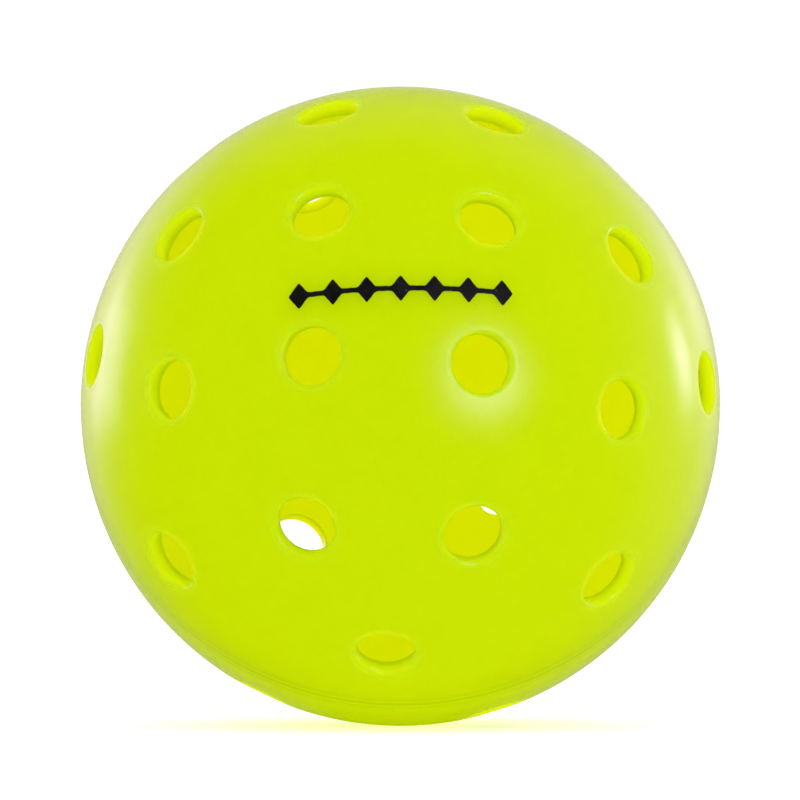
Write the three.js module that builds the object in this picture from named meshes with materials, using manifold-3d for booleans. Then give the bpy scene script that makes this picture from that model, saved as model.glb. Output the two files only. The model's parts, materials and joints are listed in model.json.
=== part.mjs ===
// Pickleball ball: two moulded half shells with round holes, welded at the equator, with a printed ornament.
// Millimetres, with the origin at the ball's centre. The ball is made with its printed pole along +Z and
// its rows of holes along X and Y, and is then turned so that the print faces the front (-Y), looking up.
import * as THREE from "three";
import { mergeVertices } from "three/addons/utils/BufferGeometryUtils.js";
import Module from "manifold-3d";

// shell
const BALL_RADIUS = 37;
const WALL = 1.8;
const HOLE_RADIUS = 3.4;

// holes of one half, by latitude above the equator
const POLE_RING = { latitude: 69.2, count: 2, first: 0, split: 42.7 };
const MIDDLE_RING = { latitude: 41.9, count: 4, first: 0, split: 20.4 };
const EQUATOR_RING = { latitude: 17.1, count: 8, first: 0, split: 0 };
const BACK_TURN = -24; // how far the back half is turned about the pole axis against the front half

// how the ball sits
const SPIN = -2.8; // about the pole axis
const POLE_RISE = 23; // the printed pole's height above the horizon, seen from the front

// weld at the equator: flush outside, with a low bead left standing inside
const WELD_HALF_HEIGHT = 0.4;
const BEAD_HEIGHT = 0.8;
const BEAD_HALF_WIDTH = 0.9;
const BEAD_CREST = 0.45; // the crest's width as a share of the foot's
const BEAD_GAP = 0.25; // between the bead and each half's inner wall

// printed ornament: lozenges strung on a thin line, laid over the pole
const INK_GAP = 0.02;
const INK_THICKNESS = 0.08;
const INK_CAP_LATITUDE = 63;
const LOZENGES = 7;
const LOZENGE_PITCH = 3.8;
const LOZENGE_HALF_WIDTH = 1.2;
const LOZENGE_HALF_HEIGHT = 1.6;
const LINE_HALF_HEIGHT = 0.3;
const ORNAMENT_DROP = 1.3; // below the pole
const ORNAMENT_TURN = 3.8; // against the rows of holes

// facets
const AROUND = 36;
const DEGREES_PER_FACET = 360 / AROUND;
const HOLE_SIDES = 18;

const PLASTIC = "#cae301";
const WELD_PLASTIC = "#c3db05";
const INK = "#0b0b0c";

const wasm = await Module();
wasm.setup();

const radians = THREE.MathUtils.degToRad;

function toSolid(geometry) {
  const plain = geometry.clone();
  plain.deleteAttribute("normal");
  plain.deleteAttribute("uv");
  const welded = mergeVertices(plain, 1e-5);
  return new wasm.Manifold(new wasm.Mesh({
    numProp: 3,
    vertProperties: new Float32Array(welded.attributes.position.array),
    triVerts: new Uint32Array(welded.index.array),
  }));
}

function toMesh(solid, name, color, roughness) {
  const { vertProperties, triVerts } = solid.getMesh();
  const geometry = new THREE.BufferGeometry();
  geometry.setAttribute("position", new THREE.BufferAttribute(new Float32Array(vertProperties), 3));
  geometry.setIndex(new THREE.BufferAttribute(new Uint32Array(triVerts), 1));
  geometry.computeVertexNormals();
  const mesh = new THREE.Mesh(geometry, new THREE.MeshStandardMaterial({ color, roughness }));
  mesh.name = name;
  return mesh;
}

// points of a circle's arc in the lathe plane, from one latitude to another, both in degrees
function arc(radius, from, to) {
  const steps = Math.max(1, Math.round(Math.abs(to - from) / DEGREES_PER_FACET));
  return Array.from({ length: steps + 1 }, (_, i) => {
    const latitude = radians(from + (to - from) * i / steps);
    return new THREE.Vector2(radius * Math.cos(latitude), radius * Math.sin(latitude));
  });
}

// the lathe turns its profile about Y, and the ball's axis is Z
function lathe(profile) {
  return new THREE.LatheGeometry(profile, AROUND).rotateX(Math.PI / 2);
}

function onAxis(points) {
  points.forEach((p) => {
    if (Math.abs(p.x) < 1e-9) p.x = 0;
  });
  return points;
}

// the latitude at which a sphere of this radius meets a level plane
function latitudeAt(height, radius) {
  return THREE.MathUtils.radToDeg(Math.asin(height / radius));
}

function halfShell() {
  const inner = BALL_RADIUS - WALL;
  return toSolid(lathe(onAxis([
    ...arc(inner, 90, latitudeAt(WELD_HALF_HEIGHT, inner)),
    ...arc(BALL_RADIUS, latitudeAt(WELD_HALF_HEIGHT, BALL_RADIUS), 90),
  ])));
}

function drill(latitude, longitude) {
  const length = 4 * WALL;
  const cutter = new THREE.CylinderGeometry(HOLE_RADIUS, HOLE_RADIUS, length, HOLE_SIDES)
    .rotateX(Math.PI / 2)
    .translate(0, 0, BALL_RADIUS - WALL / 2)
    .rotateY(radians(90 - latitude))
    .rotateZ(radians(longitude));
  return toSolid(cutter);
}

function drillsOfOneHalf() {
  const drills = [];
  for (const ring of [POLE_RING, MIDDLE_RING, EQUATOR_RING]) {
    const offsets = ring.split ? [-ring.split, ring.split] : [0];
    for (let i = 0; i < ring.count; i += 1) {
      const longitude = ring.first + 360 * i / ring.count;
      offsets.forEach((offset) => drills.push(drill(ring.latitude, longitude + offset)));
    }
  }
  return drills;
}

function seamWeld() {
  const inner = BALL_RADIUS - WALL;
  const ringLatitude = latitudeAt(WELD_HALF_HEIGHT, BALL_RADIUS);
  const beadFoot = inner - BEAD_GAP;
  const beadTop = inner - BEAD_HEIGHT;
  const outer = BALL_RADIUS * Math.cos(radians(ringLatitude));
  const profile = [
    [outer, -WELD_HALF_HEIGHT],
    [outer, WELD_HALF_HEIGHT],
    [beadFoot, WELD_HALF_HEIGHT],
    [beadFoot, BEAD_HALF_WIDTH],
    [beadTop, BEAD_HALF_WIDTH * BEAD_CREST],
    [beadTop, -BEAD_HALF_WIDTH * BEAD_CREST],
    [beadFoot, -BEAD_HALF_WIDTH],
    [beadFoot, -WELD_HALF_HEIGHT],
  ].map(([r, z]) => new THREE.Vector2(r, z));
  return toSolid(lathe([...profile, profile[0].clone()]));
}

// a thin cap that follows the shell's own facets, so that ink lies level on them
function inkCap() {
  const low = BALL_RADIUS + INK_GAP;
  const high = low + INK_THICKNESS;
  const rim = 90 - Math.round((90 - INK_CAP_LATITUDE) / DEGREES_PER_FACET) * DEGREES_PER_FACET;
  return toSolid(lathe(onAxis([...arc(low, 90, rim), ...arc(high, rim, 90)])));
}

function ornament() {
  const reach = LOZENGE_PITCH * (LOZENGES - 1) / 2;
  const line = new THREE.BoxGeometry(2 * reach, 2 * LINE_HALF_HEIGHT, BALL_RADIUS)
    .translate(0, 0, BALL_RADIUS);
  const pieces = [toSolid(line)];
  for (let i = 0; i < LOZENGES; i += 1) {
    const centre = i * LOZENGE_PITCH - reach;
    const outline = new THREE.Shape([
      new THREE.Vector2(centre - LOZENGE_HALF_WIDTH, 0),
      new THREE.Vector2(centre, -LOZENGE_HALF_HEIGHT),
      new THREE.Vector2(centre + LOZENGE_HALF_WIDTH, 0),
      new THREE.Vector2(centre, LOZENGE_HALF_HEIGHT),
    ]);
    const prism = new THREE.ExtrudeGeometry(outline, { depth: BALL_RADIUS, bevelEnabled: false })
      .translate(0, 0, BALL_RADIUS / 2);
    pieces.push(toSolid(prism));
  }
  return wasm.Manifold.union(pieces).translate([0, -ORNAMENT_DROP, 0]).rotate([0, 0, ORNAMENT_TURN]);
}

function asItSits(solid) {
  return solid.rotate([0, 0, SPIN]).rotate([90 - POLE_RISE, 0, 0]);
}

const drilled = halfShell().subtract(wasm.Manifold.union(drillsOfOneHalf()));
const turnedOver = drilled.rotate([180, 0, 0]).rotate([0, 0, BACK_TURN]);

const ball = new THREE.Group();
ball.name = "pickleball_ball";
ball.add(toMesh(asItSits(drilled), "front_half_shell", PLASTIC, 0.35));
ball.add(toMesh(asItSits(turnedOver), "back_half_shell", PLASTIC, 0.35));
ball.add(toMesh(asItSits(seamWeld()), "seam_weld", WELD_PLASTIC, 0.4));
ball.add(toMesh(asItSits(inkCap().intersect(ornament())), "printed_ornament", INK, 0.6));

export default ball;
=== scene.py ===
"""Pickleball ball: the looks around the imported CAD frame. Metres, +Z up, the print faces the front (-Y)."""

import json
import math

import bmesh
import bpy
import numpy as np
from mathutils import Matrix, Vector, geometry


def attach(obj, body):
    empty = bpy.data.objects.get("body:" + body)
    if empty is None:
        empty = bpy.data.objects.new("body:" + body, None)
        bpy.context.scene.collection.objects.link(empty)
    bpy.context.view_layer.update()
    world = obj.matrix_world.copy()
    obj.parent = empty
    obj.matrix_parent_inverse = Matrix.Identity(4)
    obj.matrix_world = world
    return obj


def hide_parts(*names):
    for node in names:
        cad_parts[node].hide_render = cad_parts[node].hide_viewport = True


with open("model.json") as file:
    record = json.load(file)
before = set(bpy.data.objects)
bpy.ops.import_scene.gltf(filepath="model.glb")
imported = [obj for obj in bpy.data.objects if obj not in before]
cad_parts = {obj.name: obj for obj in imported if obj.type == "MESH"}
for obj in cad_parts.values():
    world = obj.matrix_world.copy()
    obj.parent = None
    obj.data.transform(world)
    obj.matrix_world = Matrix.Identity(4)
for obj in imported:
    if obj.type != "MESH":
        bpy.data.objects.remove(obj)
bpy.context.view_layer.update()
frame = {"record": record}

MM = 0.001

# The same sizes as in the CAD, in millimetres and degrees.
BALL_R = 37.0
WALL = 1.8
INNER_R = BALL_R - WALL
BORE_R = 3.4
RINGS = ((69.2, 2, 0.0, 42.7), (41.9, 4, 0.0, 20.4), (17.1, 8, 0.0, 0.0))  # latitude, count, first, split
BACK_TURN = -24.0
SPIN = -2.8
POLE_RISE = 23.0
WELD_HALF = 0.4
BEAD_HEIGHT = 0.8
BEAD_HALF_WIDTH = 0.9
LOZENGES = 7
LOZENGE_PITCH = 3.8
LOZENGE_HALF_WIDTH = 1.2
LOZENGE_HALF_HEIGHT = 1.6
LINE_HALF = 0.3
ORNAMENT_DROP = 1.3
ORNAMENT_TURN = 3.8

# The holes' rounded edges, in millimetres, and how many steps each is made of.
OUTER_FILLET = 0.45
OUTER_FILLET_STEPS = 8
INNER_FILLET = 0.12
INNER_FILLET_STEPS = 5
HOLE_STEPS = 56

# The points of the round skins, in millimetres.
SPACING = 1.25
POINT_SHARE = 0.87  # the skin's area for each point, in squares of the spacing
HOLE_RINGS = ((0.42, 56), (0.95, 48), (1.7, 40))  # rings round a hole: distance from its edge, points
RING_TURN = 0.05  # each ring is turned by this many radians more than the one before
HOLE_CLEAR = 2.45  # no free points nearer to a hole's edge than this
SEAM_ROWS = ((0.45, 0.5), (1.15, 0.0))  # rows along the seam: distance from it, shift in steps
SEAM_CLEAR = 1.9
CLOSEST = 0.33
RIM_FADE = 1.2  # the painted sheen round each hole runs out this far from its edge

# The weld, in millimetres: a barely sunk line outside, and a bead inside whose height wanders a little.
WELD_STEPS = 240
WELD_LINE_POINTS = 9
WELD_SINK = 0.006
WELD_SINK_MIDDLE = 0.35  # how much of the sink there is at the middle of the line
BEAD_POINTS = 15
BEAD_FOOT = 0.02
BEAD_WANDER = 0.05
BEAD_WAVES = (7, 3)  # two waves once round, one times the other
WELD_SHARP = 40  # degrees

# The film of ink, in millimetres.
INK_STEP = 0.12
INK_TOP = 0.03
INK_EDGE = 0.55  # the film's height at its edge, as a share of its height inside
INK_SUNK = 0.02
INK_FIELD = (13.5, 1.7)  # half of the width and height that the ornament lies in
INK_INNER_STEP = 1.6  # in steps of the outline, as is the next
INK_INNER_CLEAR = 0.8
INK_SOFTENINGS = 3
INK_WANDER_STEP = 0.9
INK_WANDER = ((0.012, 1.0, 0.0), (0.01, 2.3, 1.0))  # waves of the outline: size, pace, start
INK_SHARP = 50  # degrees

# Linear colours of the plastic.
OUTSIDE = (0.630, 0.783, 0.0006, 1)
OUTSIDE_PALE = (0.655, 0.808, 0.001, 1)
# painted light: the inside is given a lighter colour than the outside; the next colour is painted shade,
# darker towards the bottom inside
INSIDE_PAINTED_LIGHT = (0.725, 0.935, 0.001, 1)
INSIDE_PAINTED_SHADE = (0.675, 0.905, 0.001, 1)
INSIDE_FADE = 25.0  # the inside's painted shade fades out from this far below the ball's centre to this far above it, in millimetres
# painted sheen: a paler ring round each hole's outer edge
RIM_PAINTED_SHEEN = (0.61, 0.845, 0.004, 1)
# painted light: the holes' walls are made far lighter, to cancel the shade inside the holes
HOLE_WALL_PAINTED_LIGHT = (0.92, 1.0, 0.001, 1)
# The next two colours, the shell's edge and the weld make a darker band along the seam: partly to even out
# the shorter light spread there, partly painted shade on the ball's lower edge, where the seam runs at the
# front.
NEAR_WELD_SHADED = (0.485, 0.64, 0.0006, 1)
NEAR_WELD_SHADED_PALE = (0.505, 0.66, 0.001, 1)
SHELL_EDGE = (0.60, 0.79, 0.0008, 1)
WELD = (0.49, 0.645, 0.0008, 1)
# painted light: the weld's bead inside glows, standing in for light let through it
PAINTED_BEAD_GLOW = (0.22, 0.18, 0.0, 1)
NO_GLOW = (0, 0, 0, 1)

# How far red, green and blue light travel in the plastic, and the scale of that, in metres, at each place.
SCATTER = (1.8, 1.5, 0.1)
SCATTER_SCALE = 0.010
HOLE_SCATTER_SCALE = 0.004
WELD_SCATTER_SCALE = 0.0002

# Where one look of the plastic passes into the next, in millimetres.
INNER_SKIN = 0.35  # the inside's look is whole up to this far into the wall
OUTER_SKIN = 0.9  # the outside's look is whole down to this far into the wall
EDGE_END = 1.1  # the edge along the weld ends this far from the seam's plane
BAND_END = 3.5  # and so does the band beside it

# Unevenness of the plastic: noise scale for each metre, detail and roughness.
CLOUDS = (160.0, 3.0, 0.6)
GRAIN = (1500.0, 2.0, 0.6)
GRAIN_SHARE = 0.25
MOTTLE_RANGE = (0.32, 0.68)

# The surface: how dull it is and how that varies.
ROUGH = 0.155
RIM_ROUGH = 0.15
INSIDE_ROUGH = 0.2
WELD_ROUGH = 0.04
NOISE_RANGE = (0.3, 0.7)
CLOUDS_ROUGH = (-0.015, 0.02)
GRAIN_ROUGH = (-0.01, 0.015)
# Its bumps: noise scale for each metre, and height in metres.
BUMPS = ((130.0, 0.00003), (900.0, 0.000004), (2400.0, 0.0000016))
BUMP_DETAIL = (1.0, 0.4)

# The ink's colours and surface, with noises as for the plastic.
INK_DARK = (0.0024, 0.0024, 0.0026, 1)
INK_PALE = (0.0065, 0.0065, 0.006, 1)
INK_SPECK = (0.16, 0.2, 0.004, 1)
INK_CLOUDS = (700.0, 2.0, 0.6)
INK_SPECKS = (5200.0, 1.0, 0.5)
INK_SPECK_RANGE = (0.735, 0.77)
INK_ROUGH = (0.48, 0.62)
INK_GRIT = (3000.0, 2.0, 0.6)
INK_GRIT_HEIGHT = 0.000004
INK_SPECULAR = 0.35

# The room that plain surfaces see, and how much brighter it grows to the right, the front and above.
ROOM = 1.14
ROOM_RIGHT = 0.08
ROOM_FRONT = 0.22
ROOM_UP = 0.02
# The white behind.
BACKDROP = 1.05
WHITE = (1, 1, 1, 1)
# Lit panels behind the ball: radiance, azimuth from the back, width, elevation, height, squareness.
PANELS = (
    (0.21, 4.3, 49.0, 19.5, 46.0, 5.0),
    (1.02, -36.4, 23.8, 9.5, 15.7, 2.0),
    (1.80, -45.8, 13.1, 6.5, 9.2, 4.2),
    (4.85, 55.0, 5.4, 8.1, 7.1, 2.35),
    (1.48, 33.7, 20.0, 9.3, 12.1, 1.5),
    (0.39, 62.2, 21.2, 7.7, 28.2, 1.5),
)
PANEL_TINT = (0.80, 0.55, 1.0, 1)
# Straight underneath there are no panels: the fade of azimuth over depth, both in degrees.
UNDERNEATH = (0.15, 0.6)
LEAST_DEPTH = 0.01
# The soft main light at the front: radiance, direction and width in radians.
KEY = 11.0
KEY_DIRECTION = (0.5010, -0.8470, 0.1780)
KEY_WIDTH = 0.121
# The ball's own light thrown back at its edges from behind, and how much more of it there is underneath.
GLOW_COLOUR = (0.75, 1.0, 0.0, 1)
GLOW = 0.28
GLOW_UNDER = 0.15
GLOW_FADE = 0.5
BOUNCES = 12

# The floor: the radii of its rings in metres, its paper, and its own light.
FLOOR_RINGS = (0.05, 0.2, 1.0, 5.0, 40.0)
FLOOR_SIDES = 96
FLOOR_DARK = (0.94, 0.94, 0.94, 1)
FLOOR_PALE = (0.95, 0.95, 0.95, 1)
FLOOR_CLOUDS = (3.0, 2.0, 0.5)
FLOOR_ROUGH = 0.9
FLOOR_GLOW = 0.36

# The camera: millimetres for the lens, ball radii for the distance, metres for the rest.
SENSOR = 36.0
LENS = 399.7
CAMERA_DISTANCE = 27.8
CAMERA_ASIDE = -0.00005
CAMERA_UP = 0.00072
CLIP_START = 0.05
CLIP_END = 100.0

TIPPED_BACK = Matrix.Rotation(math.radians(90 - POLE_RISE), 4, "X")
SITS = (TIPPED_BACK @ Matrix.Rotation(math.radians(SPIN), 4, "Z")).to_3x3()
TURNED_OVER = (Matrix.Rotation(math.radians(BACK_TURN), 4, "Z") @ Matrix.Rotation(math.pi, 4, "X")).to_3x3()


def as_array(matrix):
    return np.array([list(row) for row in matrix])


def hole_axes():
    """Unit axes of one half's holes, with the pole along +Z."""
    axes = []
    for latitude, count, first, split in RINGS:
        lat = math.radians(latitude)
        for i in range(count):
            for offset in ((-split, split) if split else (0.0,)):
                lon = math.radians(first + 360 * i / count + offset)
                axes.append((math.cos(lat) * math.cos(lon), math.cos(lat) * math.sin(lon), math.sin(lat)))
    return np.array(axes)


def frame_of(axis):
    """Two unit vectors square to an axis."""
    side = np.cross(axis, (0.0, 0.0, 1.0))
    side /= np.linalg.norm(side)
    return side, np.cross(axis, side)


def circle_directions(axis, steps, turn=0.0):
    """Unit vectors square to an axis, once round it."""
    a, b = frame_of(axis)
    t = np.linspace(0, 2 * math.pi, steps, endpoint=False) + turn
    return np.cos(t)[:, None] * a + np.sin(t)[:, None] * b


def circle_points(axis, rho, height, steps, turn=0.0):
    """A circle round an axis through the ball's centre, at a distance from it and a height along it."""
    return height * axis + rho * circle_directions(axis, steps, turn)


def fillet(rho, z, radius, start, end, steps):
    """Rows of a rounded edge: distance from the hole's axis, height, and the normal's two parts."""
    rows = []
    for i in range(steps + 1):
        t = start + (end - start) * i / steps
        rows.append((rho + radius * math.cos(t), z + radius * math.sin(t), math.cos(t), math.sin(t)))
    return rows


def hole_profile():
    """Rows of a hole's wall from the outside in, as in fillet()."""
    rho_o = BORE_R + OUTER_FILLET
    z_o = math.sqrt((BALL_R - OUTER_FILLET) ** 2 - rho_o ** 2)
    rho_i = BORE_R + INNER_FILLET
    z_i = math.sqrt((INNER_R + INNER_FILLET) ** 2 - rho_i ** 2)
    outer = fillet(rho_o, z_o, OUTER_FILLET, math.atan2(z_o, rho_o), math.pi, OUTER_FILLET_STEPS)
    inner = fillet(rho_i, z_i, INNER_FILLET, math.pi, math.pi + math.atan2(z_i, rho_i), INNER_FILLET_STEPS)
    return outer + [(BORE_R, (z_o + z_i) / 2, -1.0, 0.0)] + inner


def spread_points(radius):
    """Even points over the upper half of a sphere, as a golden spiral."""
    count = int(4 * math.pi * radius ** 2 / (SPACING ** 2 * POINT_SHARE))
    i = np.arange(count)
    z = 1 - (2 * i + 1) / count
    phi = i * math.pi * (3 - math.sqrt(5))
    r = np.sqrt(1 - z * z)
    return radius * np.stack([r * np.cos(phi), r * np.sin(phi), z], 1)[z > 0]


def level_circle(radius, z, turns):
    """Points of a sphere at one height."""
    r = math.sqrt(radius ** 2 - z * z)
    return np.stack([r * np.cos(turns), r * np.sin(turns), np.full(len(turns), z)], 1)


def skin(radius, axes, rim):
    """Triangles over the upper half of a sphere of this radius, round holes whose edge is (rho, height).

    Returns the points, the triangles, and the indices of each hole's edge and of the seam's edge.
    """
    groups, holes, total = [], [], 0
    for axis in axes:
        groups.append(circle_points(axis, rim[0], rim[1], HOLE_STEPS))
        holes.append(np.arange(total, total + HOLE_STEPS))
        total += HOLE_STEPS
        for k, (grow, steps) in enumerate(HOLE_RINGS):
            angle = math.asin(rim[0] / radius) + grow / radius
            rho, height = radius * math.sin(angle), radius * math.cos(angle)
            groups.append(circle_points(axis, rho, height, steps, RING_TURN * (k + 1)))
            total += steps
    around = int(2 * math.pi * radius / SPACING)
    seam = np.arange(total, total + around)
    turns = np.linspace(0, 2 * math.pi, around, endpoint=False)
    for up, shift in ((0.0, 0.0),) + SEAM_ROWS:
        groups.append(level_circle(radius, WELD_HALF + up, turns + shift * 2 * math.pi / around))
    free = spread_points(radius)
    keep = free[:, 2] > WELD_HALF + SEAM_CLEAR
    clear = math.asin(rim[0] / radius) + HOLE_CLEAR / radius
    for axis in axes:
        keep &= free @ axis < radius * math.cos(clear)
    groups.append(free[keep])
    # the rings of neighbouring holes can crowd one another
    points, holes, seam = thin_out(np.concatenate(groups), holes, seam)
    unit = points / np.linalg.norm(points, axis=1)[:, None]
    flat = unit[:, :2] / (1 + unit[:, 2:3])
    found = geometry.delaunay_2d_cdt([Vector(p) for p in flat], [], [], 0, 1e-9)
    origin = [o[0] for o in found[3]]
    owner = np.full(len(points), -1)
    for n, ring in enumerate(holes):
        owner[ring] = n
    tris = []
    for face in found[2]:
        a, b, c = (origin[v] for v in face)
        # a triangle between three points of one hole's edge would close the hole
        if owner[a] >= 0 and owner[a] == owner[b] == owner[c]:
            continue
        tris.append((a, b, c))
    return points, tris, holes, seam


def thin_out(points, holes, seam):
    """Drops free points that lie too close to an earlier one, and renumbers the edges' indices."""
    fixed = np.zeros(len(points), bool)
    for ring in holes:
        fixed[ring] = True
    fixed[seam] = True
    steps = [(x, y, z) for x in (-1, 0, 1) for y in (-1, 0, 1) for z in (-1, 0, 1)]
    grid = {}
    keep = np.zeros(len(points), bool)
    for i in np.concatenate([np.flatnonzero(fixed), np.flatnonzero(~fixed)]):
        cell = tuple(np.floor(points[i] / CLOSEST).astype(int))
        if not fixed[i]:
            cells = [(cell[0] + x, cell[1] + y, cell[2] + z) for x, y, z in steps]
            beside = [j for near in cells for j in grid.get(near, ())]
            if any(np.linalg.norm(points[i] - points[j]) < CLOSEST for j in beside):
                continue
        keep[i] = True
        grid.setdefault(cell, []).append(i)
    number = np.cumsum(keep) - 1
    return points[keep], [number[ring] for ring in holes], number[seam]


def facing(points, tri, outward):
    """The triangle, turned to face away from the ball's centre or towards it."""
    a, b, c = tri
    turn = np.dot(np.cross(points[b] - points[a], points[c] - points[a]), points[a])
    return (a, b, c) if (turn > 0) == outward else (a, c, b)


def bridge(outer, inner):
    """Triangles between two closed edges with different numbers of points."""
    faces = []
    i = j = 0
    while i < len(outer) or j < len(inner):
        o0, o1 = outer[i % len(outer)], outer[(i + 1) % len(outer)]
        i0, i1 = inner[j % len(inner)], inner[(j + 1) % len(inner)]
        if j >= len(inner) or (i < len(outer) and (i + 1) / len(outer) <= (j + 1) / len(inner)):
            faces.append((o0, i0, o1))
            i += 1
        else:
            faces.append((o0, i0, i1))
            j += 1
    return faces


def half_shell(name, placed):
    """One half shell as a closed mesh with rounded hole rims and exact normals.

    Its attribute "rim" is 0 on the skins, and rises to 1 at a hole's outer edge and to 2 down its wall.
    """
    axes = hole_axes()
    profile = hole_profile()
    outer, outer_tris, outer_holes, outer_seam = skin(BALL_R, axes, profile[0][:2])
    inner, inner_tris, inner_holes, inner_seam = skin(INNER_R, axes, profile[-1][:2])
    shift = len(outer)
    points = [outer, inner]
    normals = [outer / BALL_R, -inner / INNER_R]
    near = np.arccos(np.clip((outer / BALL_R @ axes.T).max(1), -1, 1)) - math.asin(profile[0][0] / BALL_R)
    rim = [np.clip(1 - near * BALL_R / RIM_FADE, 0, 1), np.zeros(len(inner))]
    top, low = profile[OUTER_FILLET_STEPS][1], profile[OUTER_FILLET_STEPS + 2][1]
    faces = [facing(outer, tri, True) for tri in outer_tris]
    faces += [tuple(v + shift for v in facing(inner, tri, False)) for tri in inner_tris]
    total = shift + len(inner)
    for n, axis in enumerate(axes):
        round_about = circle_directions(axis, HOLE_STEPS)
        rows = [outer_holes[n]]
        for rho, z, n_rho, n_z in profile[1:-1]:
            points.append(z * axis + rho * round_about)
            normals.append(n_z * axis + n_rho * round_about)
            rim.append(np.full(HOLE_STEPS, 1 + min(1.0, max(0.0, (top - z) / (top - low)))))
            rows.append(np.arange(total, total + HOLE_STEPS))
            total += HOLE_STEPS
        rows.append(inner_holes[n] + shift)
        for upper, lower in zip(rows, rows[1:]):
            for i in range(HOLE_STEPS):
                j = (i + 1) % HOLE_STEPS
                faces.append((upper[i], upper[j], lower[j], lower[i]))
    faces += bridge(outer_seam, inner_seam + shift)
    verts = np.concatenate(points) @ as_array(placed).T * MM
    piece = make_mesh(name, verts, faces, np.concatenate(normals) @ as_array(placed).T)
    piece.data.attributes.new("rim", "FLOAT", "POINT").data.foreach_set("value", np.concatenate(rim))
    return piece


def make_mesh(name, verts, faces, normals=None):
    mesh = bpy.data.meshes.new(name)
    mesh.from_pydata([tuple(v) for v in verts], [], [tuple(int(i) for i in f) for f in faces])
    mesh.validate(clean_customdata=False)
    mesh.polygons.foreach_set("use_smooth", [True] * len(mesh.polygons))
    mesh.update()
    if normals is not None:
        mesh.normals_split_custom_set_from_vertices([tuple(n) for n in normals])
    piece = bpy.data.objects.new(name, mesh)
    bpy.context.scene.collection.objects.link(piece)
    return piece


def weld_ring(name, placed):
    """The weld as a ring, with its line outside and its rounded bead inside."""
    outer = []
    for t in np.linspace(-1, 1, WELD_LINE_POINTS):
        sink = WELD_SINK * (WELD_SINK_MIDDLE + (1 - WELD_SINK_MIDDLE) * t * t)
        outer.append((WELD_HALF * t, BALL_R - sink))
    foot = INNER_R - BEAD_FOOT
    bead = []
    for t in np.linspace(0, math.pi, BEAD_POINTS):
        bead.append((BEAD_HALF_WIDTH * math.cos(t), foot - BEAD_HEIGHT * math.sin(t)))
    profile = outer + [(WELD_HALF, foot)] + bead + [(-WELD_HALF, foot)]
    verts, faces = [], []
    fast, slow = BEAD_WAVES
    for i in range(WELD_STEPS):
        turn = 2 * math.pi * i / WELD_STEPS
        wander = 1 + BEAD_WANDER * math.sin(fast * turn) * math.sin(slow * turn + 1)
        for k, (z, r) in enumerate(profile):
            if len(outer) < k < len(profile) - 1:
                r = foot - (foot - r) * wander
            verts.append((r * math.cos(turn), r * math.sin(turn), z))
    count = len(profile)
    for i in range(WELD_STEPS):
        j = (i + 1) % WELD_STEPS
        for k in range(count):
            n = (k + 1) % count
            faces.append((i * count + k, i * count + n, j * count + n, j * count + k))
    piece = make_mesh(name, np.array(verts) @ as_array(placed).T * MM, faces)
    mark_sharp(piece, WELD_SHARP)
    return piece


def mark_sharp(piece, degrees):
    """Edges steeper than this shade sharp."""
    edit = bmesh.new()
    edit.from_mesh(piece.data)
    bmesh.ops.recalc_face_normals(edit, faces=edit.faces)
    for edge in edit.edges:
        edge.smooth = edge.calc_face_angle(0) < math.radians(degrees)
    edit.to_mesh(piece.data)
    edit.free()


def ornament_outline():
    """The outline of the strung lozenges, once round, in the plane over the pole."""
    reach = LOZENGE_PITCH * (LOZENGES - 1) / 2
    cut = LOZENGE_HALF_WIDTH * (1 - LINE_HALF / LOZENGE_HALF_HEIGHT)
    top = []
    for i in range(LOZENGES):
        x = i * LOZENGE_PITCH - reach
        left = (x - cut, LINE_HALF) if i else (x - LOZENGE_HALF_WIDTH, 0.0)
        right = (x + cut, LINE_HALF) if i < LOZENGES - 1 else (x + LOZENGE_HALF_WIDTH, 0.0)
        top += [left, (x, LOZENGE_HALF_HEIGHT), right]
    bottom = [(x, -y) for x, y in reversed(top) if y > 0]
    return top + bottom


def printed_film(name, placed):
    """The ornament as a thin film of ink that follows the ball's roundness."""
    corners = ornament_outline()
    edge = []
    for (x0, y0), (x1, y1) in zip(corners, corners[1:] + corners[:1]):
        steps = max(2, int(math.hypot(x1 - x0, y1 - y0) / INK_STEP))
        for k in range(steps):
            t = k / steps
            edge.append((x0 + (x1 - x0) * t, y0 + (y1 - y0) * t))
    ring = round_off(edge)
    count = len(ring)
    lines = [(i, (i + 1) % count) for i in range(count)]
    inside = []
    wide, high = INK_FIELD
    for x in np.arange(-wide, wide, INK_STEP * INK_INNER_STEP):
        for y in np.arange(-high, high, INK_STEP * INK_INNER_STEP):
            if within(ring, x, y) and np.hypot(*(ring - (x, y)).T).min() > INK_STEP * INK_INNER_CLEAR:
                inside.append((x, y))
    flat = [tuple(p) for p in ring] + inside
    found = geometry.delaunay_2d_cdt([Vector(p) for p in flat], lines, [], 1, 1e-7)
    origin = [o[0] for o in found[3]]
    turn = math.radians(ORNAMENT_TURN)
    points = np.array(flat) + (0, -ORNAMENT_DROP)
    x = points[:, 0] * math.cos(turn) - points[:, 1] * math.sin(turn)
    y = points[:, 0] * math.sin(turn) + points[:, 1] * math.cos(turn)
    unit = np.stack([x, y, np.sqrt(BALL_R ** 2 - x * x - y * y)], 1) / BALL_R
    height = np.full(len(points), BALL_R + INK_TOP)
    height[:count] = BALL_R + INK_TOP * INK_EDGE
    verts = np.concatenate([unit * height[:, None], unit * (BALL_R - INK_SUNK)])
    shift = len(points)
    faces = []
    for face in found[2]:
        a, b, c = facing(unit, [origin[v] for v in face], True)
        faces += [(a, b, c), (a + shift, c + shift, b + shift)]
    for i in range(count):
        j = (i + 1) % count
        faces.append((j, i, i + shift, j + shift))
    piece = make_mesh(name, verts @ as_array(placed).T * MM, faces)
    mark_sharp(piece, INK_SHARP)
    return piece


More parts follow.
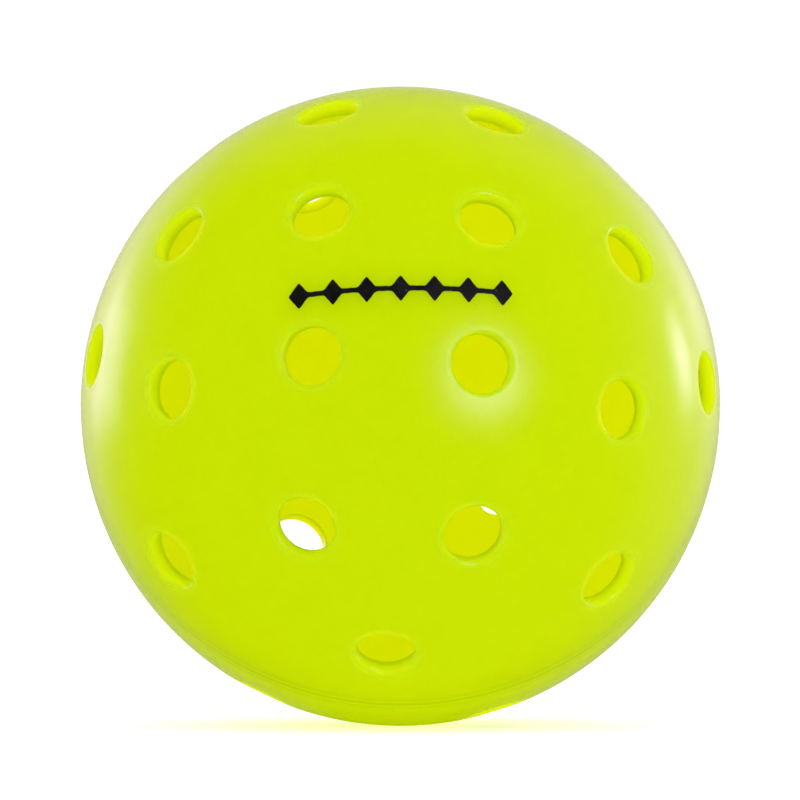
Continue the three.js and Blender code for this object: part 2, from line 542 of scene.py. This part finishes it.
def round_off(edge):
    """Softens an outline's corners a little, as ink does, and lets it wander by a hundredth of a mm."""
    ring = np.array(edge)
    for _ in range(INK_SOFTENINGS):
        ring = 0.25 * np.roll(ring, 1, 0) + 0.5 * ring + 0.25 * np.roll(ring, -1, 0)
    phase = np.arange(len(ring)) * INK_WANDER_STEP
    ring[:, 1] += sum(size * np.sin(pace * phase + start) for size, pace, start in INK_WANDER)
    return ring


def within(ring, x, y):
    """Whether a point is inside a closed outline."""
    x0, y0 = ring[:, 0], ring[:, 1]
    x1, y1 = np.roll(x0, -1), np.roll(y0, -1)
    crossing = (y0 > y) != (y1 > y)
    at = x0 + (y - y0) * (x1 - x0) / np.where(y1 == y0, 1e-12, y1 - y0)
    return np.count_nonzero(crossing & (x < at)) % 2 == 1


class Tree:
    """Short ways to add nodes to a material or to the world."""

    def __init__(self, tree):
        self.tree = tree
        tree.nodes.clear()

    def add(self, kind, **values):
        node = self.tree.nodes.new(kind)
        for key, value in values.items():
            setattr(node, key, value)
        return node

    def put(self, socket, value):
        if isinstance(value, bpy.types.NodeSocket):
            self.tree.links.new(value, socket)
        elif value is not None:
            socket.default_value = value

    def math(self, operation, *inputs):
        node = self.add("ShaderNodeMath", operation=operation)
        for socket, value in zip(node.inputs, inputs):
            self.put(socket, value)
        return node.outputs[0]

    def times(self, first, second):
        return self.math("MULTIPLY", first, second)

    def away(self, value, centre, width):
        """How many widths a value is from a centre."""
        return self.math("ABSOLUTE", self.math("DIVIDE", self.math("SUBTRACT", value, centre), width))

    def total(self, values):
        result = values[0]
        for value in values[1:]:
            result = self.math("ADD", result, value)
        return result

    def dot(self, vector, direction):
        node = self.add("ShaderNodeVectorMath", operation="DOT_PRODUCT")
        self.put(node.inputs[0], vector)
        self.put(node.inputs[1], direction)
        return node.outputs["Value"]

    def length(self, vector):
        node = self.add("ShaderNodeVectorMath", operation="LENGTH")
        self.put(node.inputs[0], vector)
        return node.outputs["Value"]

    def parts(self, vector):
        node = self.add("ShaderNodeSeparateXYZ")
        self.put(node.inputs[0], vector)
        return node.outputs

    def noise(self, coordinates, scale, detail, roughness):
        node = self.add("ShaderNodeTexNoise")
        self.put(node.inputs["Vector"], coordinates)
        self.put(node.inputs["Scale"], scale)
        self.put(node.inputs["Detail"], detail)
        self.put(node.inputs["Roughness"], roughness)
        return node.outputs["Fac"]

    def spread(self, value, low, high, to_low=0.0, to_high=1.0, smooth=False):
        node = self.add("ShaderNodeMapRange", interpolation_type="SMOOTHSTEP" if smooth else "LINEAR")
        for socket, number in zip(node.inputs, (value, low, high, to_low, to_high)):
            self.put(socket, number)
        return node.outputs[0]

    def mix(self, factor, first, second):
        node = self.add("ShaderNodeMix", data_type="RGBA")
        self.put(node.inputs["Factor"], factor)
        self.put(node.inputs[6], first)
        self.put(node.inputs[7], second)
        return node.outputs[2]

    def bump(self, height, distance, normal=None):
        node = self.add("ShaderNodeBump")
        self.put(node.inputs["Strength"], 1.0)
        self.put(node.inputs["Distance"], distance)
        self.put(node.inputs["Height"], height)
        self.put(node.inputs["Normal"], normal)
        return node.outputs["Normal"]

    def background(self, colour, strength):
        node = self.add("ShaderNodeBackground")
        self.put(node.inputs["Color"], colour)
        self.put(node.inputs["Strength"], strength)
        return node.outputs[0]


def new_material(name):
    material = bpy.data.materials.new(name)
    material.use_nodes = True
    tree = Tree(material.node_tree)
    shader = tree.add("ShaderNodeBsdfPrincipled")
    out = tree.add("ShaderNodeOutputMaterial")
    tree.put(out.inputs["Surface"], shader.outputs[0])
    place = tree.add("ShaderNodeTexCoord").outputs["Object"]
    return material, tree, shader.inputs, place


def lime_plastic(name, edge, dull=0.0, painted_glow=None):
    """Glossy moulded plastic that lets light through: mottled a little, with a fine orange-peel skin, and
    with painted light and shade inside, at the holes and beside the weld.
    """
    material, tree, sockets, place = new_material(name)
    clouds = tree.noise(place, *CLOUDS)
    grain = tree.noise(place, *GRAIN)
    mottle = tree.total([tree.times(clouds, 1 - GRAIN_SHARE), tree.times(grain, GRAIN_SHARE)])
    mottle = tree.spread(mottle, *MOTTLE_RANGE)
    # where a point is: how deep in the wall, how far from the seam, how near to a hole, how high
    deep, shallow = (INNER_R + INNER_SKIN) * MM, (BALL_R - OUTER_SKIN) * MM
    depth = tree.spread(tree.length(place), deep, shallow, 1.0, 0.0, smooth=True)
    seam = tree.math("ABSOLUTE", tree.dot(place, tuple(SITS @ Vector((0, 0, 1)))))
    off_edge = tree.spread(seam, WELD_HALF * MM, EDGE_END * MM, smooth=True)
    off_weld = tree.math("MAXIMUM", tree.spread(seam, WELD_HALF * MM, BAND_END * MM, smooth=True), depth)
    rim = tree.add("ShaderNodeAttribute", attribute_name="rim").outputs["Fac"]
    wall = tree.spread(rim, 1.0, 2.0)
    level = tree.spread(tree.parts(place)[2], -INSIDE_FADE * MM, INSIDE_FADE * MM)
    # colour
    # painted light and shade inside: lighter than outside, darker towards the bottom
    bulk = tree.mix(depth, tree.mix(mottle, OUTSIDE, OUTSIDE_PALE), tree.mix(level, INSIDE_PAINTED_SHADE, INSIDE_PAINTED_LIGHT))
    # painted sheen round the holes' outer edges
    bulk = tree.mix(tree.spread(rim, 0.0, 1.0), bulk, RIM_PAINTED_SHEEN)
    # painted light down the holes' walls
    bulk = tree.mix(wall, bulk, HOLE_WALL_PAINTED_LIGHT)
    # the darker band along the seam, partly painted shade
    band = tree.mix(off_edge, edge, tree.mix(mottle, NEAR_WELD_SHADED, NEAR_WELD_SHADED_PALE))
    tree.put(sockets["Base Color"], tree.mix(off_weld, band, bulk))
    # light inside the plastic
    scale = tree.spread(rim, 1.0, 2.0, SCATTER_SCALE, HOLE_SCATTER_SCALE)
    tree.put(sockets["Subsurface Radius"], SCATTER)
    tree.put(sockets["Subsurface Scale"], tree.spread(off_weld, 0.0, 1.0, WELD_SCATTER_SCALE, scale))
    tree.put(sockets["Subsurface Weight"], 1.0)
    # painted light: a glow deep in the plastic, given only to the weld's bead
    if painted_glow:
        tree.put(sockets["Emission Color"], tree.mix(depth, NO_GLOW, painted_glow))
        tree.put(sockets["Emission Strength"], 1.0)
    # surface
    rough = tree.total([
        ROUGH + dull,
        tree.times(tree.math("MINIMUM", rim, 1.0), RIM_ROUGH),
        tree.spread(clouds, *NOISE_RANGE, *CLOUDS_ROUGH),
        tree.spread(grain, *NOISE_RANGE, *GRAIN_ROUGH),
        tree.times(depth, INSIDE_ROUGH),
    ])
    tree.put(sockets["Roughness"], rough)
    normal = None
    for noise_scale, height in BUMPS:
        normal = tree.bump(tree.noise(place, noise_scale, *BUMP_DETAIL), height, normal)
    tree.put(sockets["Normal"], normal)
    return material


def ink(name):
    """Flat black ink: a little uneven in depth, with fine specks where the plastic shows."""
    material, tree, sockets, place = new_material(name)
    cloud = tree.noise(place, *INK_CLOUDS)
    speck = tree.spread(tree.noise(place, *INK_SPECKS), *INK_SPECK_RANGE)
    black = tree.mix(tree.spread(cloud, *NOISE_RANGE), INK_DARK, INK_PALE)
    tree.put(sockets["Base Color"], tree.mix(speck, black, INK_SPECK))
    tree.put(sockets["Roughness"], tree.spread(cloud, *NOISE_RANGE, *INK_ROUGH))
    tree.put(sockets["Specular IOR Level"], INK_SPECULAR)
    tree.put(sockets["Normal"], tree.bump(tree.noise(place, *INK_GRIT), INK_GRIT_HEIGHT))
    return material


def floor_paper(name):
    """Pale paper that sends back a little more light than it gets."""
    material, tree, sockets, place = new_material(name)
    tree.put(sockets["Base Color"], tree.mix(tree.noise(place, *FLOOR_CLOUDS), FLOOR_DARK, FLOOR_PALE))
    tree.put(sockets["Roughness"], FLOOR_ROUGH)
    tree.put(sockets["Emission Color"], WHITE)
    tree.put(sockets["Emission Strength"], FLOOR_GLOW)
    tree.put(sockets["Specular IOR Level"], 0.0)
    return material


def studio():
    """A white room. Plain surfaces see its walls, and gloss sees only the lights and the ball's glow."""
    world = bpy.data.worlds.new("studio")
    bpy.context.scene.world = world
    world.use_nodes = True
    world.cycles.sampling_method = "NONE"
    tree = Tree(world.node_tree)
    towards = tree.add("ShaderNodeTexCoord").outputs["Generated"]
    x, y, z = tree.parts(towards)
    azimuth = tree.math("DEGREES", tree.math("ARCTAN2", x, y))
    elevation = tree.math("DEGREES", tree.math("ARCSINE", z))
    lights = []
    for radiance, az, az_width, el, el_width, square in PANELS:
        across = tree.math("POWER", tree.away(azimuth, az, az_width), square)
        up = tree.math("POWER", tree.away(elevation, el, el_width), square)
        fade = tree.math("EXPONENT", tree.times(tree.math("ADD", across, up), -1.0))
        lights.append(tree.times(radiance, fade))
    off = tree.math("SUBTRACT", tree.dot(towards, KEY_DIRECTION), 1.0)
    lights.append(tree.times(KEY, tree.math("EXPONENT", tree.math("DIVIDE", off, KEY_WIDTH * KEY_WIDTH))))
    below = tree.math("MAXIMUM", tree.times(elevation, -1.0), LEAST_DEPTH)
    beside = tree.spread(tree.math("DIVIDE", tree.math("ABSOLUTE", azimuth), below), *UNDERNEATH, smooth=True)
    gloss = tree.times(tree.total(lights), beside)
    behind = tree.spread(y, 0.0, GLOW_FADE, smooth=True)
    thrown = tree.times(behind, tree.spread(beside, 0.0, 1.0, GLOW + GLOW_UNDER, GLOW))
    room = tree.total([ROOM, tree.times(x, ROOM_RIGHT), tree.times(y, -ROOM_FRONT), tree.times(z, ROOM_UP)])
    rays = tree.add("ShaderNodeLightPath").outputs
    soft = tree.times(rays["Is Diffuse Ray"], room)
    shiny = tree.times(rays["Is Glossy Ray"], gloss)
    seen = tree.times(rays["Is Camera Ray"], BACKDROP)
    light = tree.math("MAXIMUM", tree.math("MAXIMUM", soft, shiny), seen)
    both = tree.add("ShaderNodeAddShader")
    tree.put(both.inputs[0], tree.background(tree.mix(rays["Is Glossy Ray"], WHITE, PANEL_TINT), light))
    tree.put(both.inputs[1], tree.background(GLOW_COLOUR, tree.times(rays["Is Glossy Ray"], thrown)))
    out = tree.add("ShaderNodeOutputWorld")
    tree.put(out.inputs["Surface"], both.outputs[0])


def round_floor(name, height):
    """A wide round floor, finer near the ball."""
    turns = np.linspace(0, 2 * math.pi, FLOOR_SIDES, endpoint=False)
    verts = [(0, 0, height)]
    for ring in FLOOR_RINGS:
        verts += [(ring * math.cos(t), ring * math.sin(t), height) for t in turns]
    faces = []
    for i in range(FLOOR_SIDES):
        j = (i + 1) % FLOOR_SIDES
        faces.append((0, 1 + i, 1 + j))
        for k in range(len(FLOOR_RINGS) - 1):
            near = 1 + FLOOR_SIDES * k
            far = near + FLOOR_SIDES
            faces.append((near + i, far + i, far + j, near + j))
    return make_mesh(name, verts, faces)


# the pieces
shell_material = lime_plastic("lime_shell", SHELL_EDGE)
weld_material = lime_plastic("lime_weld", WELD, WELD_ROUGH, PAINTED_BEAD_GLOW)
front = half_shell("front_shell", SITS)
back = half_shell("back_shell", SITS @ TURNED_OVER)
weld = weld_ring("weld_line", SITS)
film = printed_film("ornament_ink", SITS)
for piece, material, slot, node in (
    (front, shell_material, "shell_plastic", "front_half_shell"),
    (back, shell_material, "shell_plastic", "back_half_shell"),
    (weld, weld_material, "weld_plastic", "seam_weld"),
    (film, ink("black_ink"), "print_ink", "printed_ornament"),
):
    piece.data.materials.append(material)
    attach(piece, "root")
    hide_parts(node)

# the room and the floor
scene = bpy.context.scene
scene.view_settings.view_transform = "Standard"
scene.cycles.diffuse_bounces = BOUNCES
studio()
lowest = frame["record"]["mounts"][0]["pos_m"][2]
floor = round_floor("floor", lowest)
floor.data.materials.append(floor_paper("floor_paper"))
floor.visible_glossy = False
floor.visible_diffuse = False

# the camera
camera = bpy.data.objects.new("camera", bpy.data.cameras.new("camera"))
scene.collection.objects.link(camera)
camera.data.sensor_width = SENSOR
camera.data.lens = LENS
camera.data.clip_start = CLIP_START
camera.data.clip_end = CLIP_END
camera.location = (CAMERA_ASIDE, -CAMERA_DISTANCE * BALL_R * MM, CAMERA_UP)
camera.rotation_euler = (math.pi / 2, 0, 0)
scene.camera = camera
